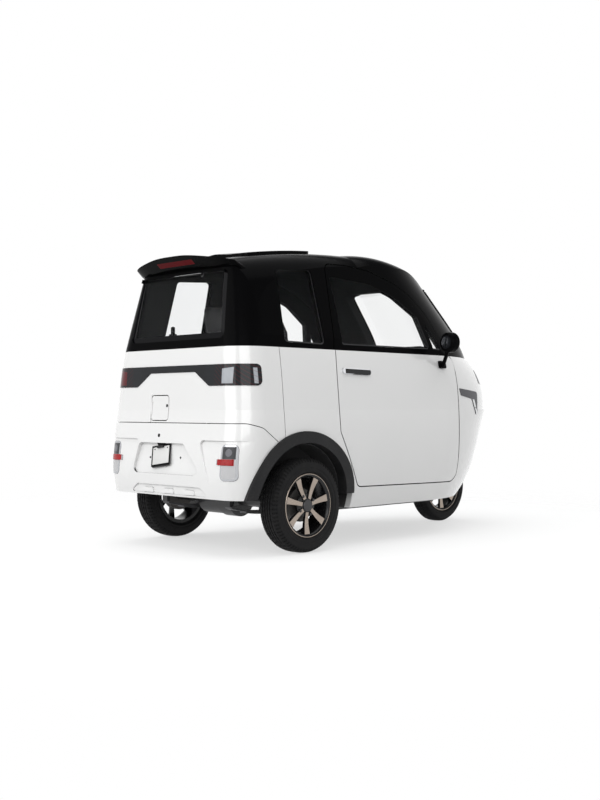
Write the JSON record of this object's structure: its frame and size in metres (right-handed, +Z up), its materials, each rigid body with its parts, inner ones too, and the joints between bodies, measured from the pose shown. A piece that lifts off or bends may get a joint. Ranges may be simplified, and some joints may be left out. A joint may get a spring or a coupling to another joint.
{
  "type": "enclosed electric tricycle",
  "caption": "Small closed-cabin tricycle with a steered front wheel, driven rear wheels, side doors that swing, two seats in a row and a handlebar.",
  "frame": {"origin": "on the ground under the middle of the vehicle's bounding box", "axes": "+X to the front of the vehicle, +Y to its left, +Z up"},
  "size_m": [2.5805, 1.3944, 1.6466],
  "materials": {
    "white_paint": "glossy white paint",
    "black_gloss": "glossy black",
    "clear_glass": "clear safety glass",
    "dark_glass": "slightly tinted glass",
    "black_plastic": "grained black plastic",
    "lamp_smoke": "dark clear lamp cover",
    "lamp_clear": "clear lamp cover",
    "lamp_red": "red lamp cover",
    "chrome_trim": "bright trim",
    "tyre": "road tyre rubber",
    "alloy": "machined face, black pockets",
    "dark_steel": "black chassis paint",
    "cast_iron": "cast brake drum",
    "spring_steel": "spring steel",
    "seat_cover": "black seat cover",
    "floor_cover": "black floor mat and lining",
    "plate": "blank number plate"
  },
  "bodies": {
    "chassis": {"front_body": "white_paint", "quarter_panel_left": "white_paint", "quarter_panel_right": "white_paint", "tail_panel": "white_paint", "rear_bumper": "white_paint", "cabin_top": "black_gloss", "roof_spoiler": "black_gloss", "sunroof_panel": "black_gloss", "windscreen": "clear_glass", "rear_window": "dark_glass", "quarter_glass_left": "clear_glass", "quarter_glass_right": "clear_glass", "headlamps": "lamp_smoke", "tail_lamp_band": "lamp_smoke", "lower_lamps": "lamp_clear", "high_brake_lamp": "lamp_red", "arch_trims": "black_plastic", "fender_vents": "chrome_trim", "number_plate": "plate", "charge_socket": "black_plastic", "wheel_houses": "floor_cover", "front_well_liner": "floor_cover", "floor_pan": "floor_cover", "chassis_frame": "dark_steel", "battery_block": "black_plastic", "rear_axle": "dark_steel", "rear_springs": "spring_steel", "rear_drums": "cast_iron", "front_seat": "seat_cover", "rear_seat": "seat_cover", "dash_panel": "black_plastic"},
    "door_left": {"door_left": "white_paint", "door_frame_left": "black_gloss", "door_glass_left": "clear_glass", "door_handle_left": "chrome_trim", "mirror_left": "black_gloss"},
    "door_right": {"door_right": "white_paint", "door_frame_right": "black_gloss", "door_glass_right": "clear_glass", "door_handle_right": "chrome_trim", "mirror_right": "black_gloss"},
    "charge_flap": {"charge_flap": "white_paint"},
    "steering": {"front_fork": "dark_steel", "handlebar": "black_plastic"},
    "front_wheel": {"front_tyre": "tyre", "front_rim": "alloy"},
    "rear_wheel_left": {"rear_tyre_left": "tyre", "rear_rim_left": "alloy"},
    "rear_wheel_right": {"rear_tyre_right": "tyre", "rear_rim_right": "alloy"}
  },
  "joints": [
    {"name": "left_door_hinge", "type": "hinge", "parent": "chassis", "child": "door_left", "pos_m": [0.436, 0.546, 0.6], "axis": [0, 0, -1], "range_deg": [0, 65]},
    {"name": "right_door_hinge", "type": "hinge", "parent": "chassis", "child": "door_right", "pos_m": [0.436, -0.546, 0.6], "axis": [0, 0, 1], "range_deg": [0, 65]},
    {"name": "charge_flap_hinge", "type": "hinge", "parent": "chassis", "child": "charge_flap", "pos_m": [-1.26815, 0.1705, 0.6755], "axis": [-0.0743, 0, -0.9972], "range_deg": [0, 90]},
    {"name": "steering_head", "type": "hinge", "parent": "chassis", "child": "steering", "pos_m": [0.98, 0, 0.236], "axis": [-0.4067, 0, 0.9135], "range_deg": [-32, 32]},
    {"name": "front_wheel_spin", "type": "hinge", "parent": "steering", "child": "front_wheel", "pos_m": [0.98, 0, 0.236], "axis": [0, 1, 0], "continuous": true},
    {"name": "rear_wheel_left_spin", "type": "hinge", "parent": "chassis", "child": "rear_wheel_left", "pos_m": [-0.82, 0.521, 0.247], "axis": [0, 1, 0], "continuous": true},
    {"name": "rear_wheel_right_spin", "type": "hinge", "parent": "chassis", "child": "rear_wheel_right", "pos_m": [-0.82, -0.521, 0.247], "axis": [0, 1, 0], "continuous": true}
  ]
}
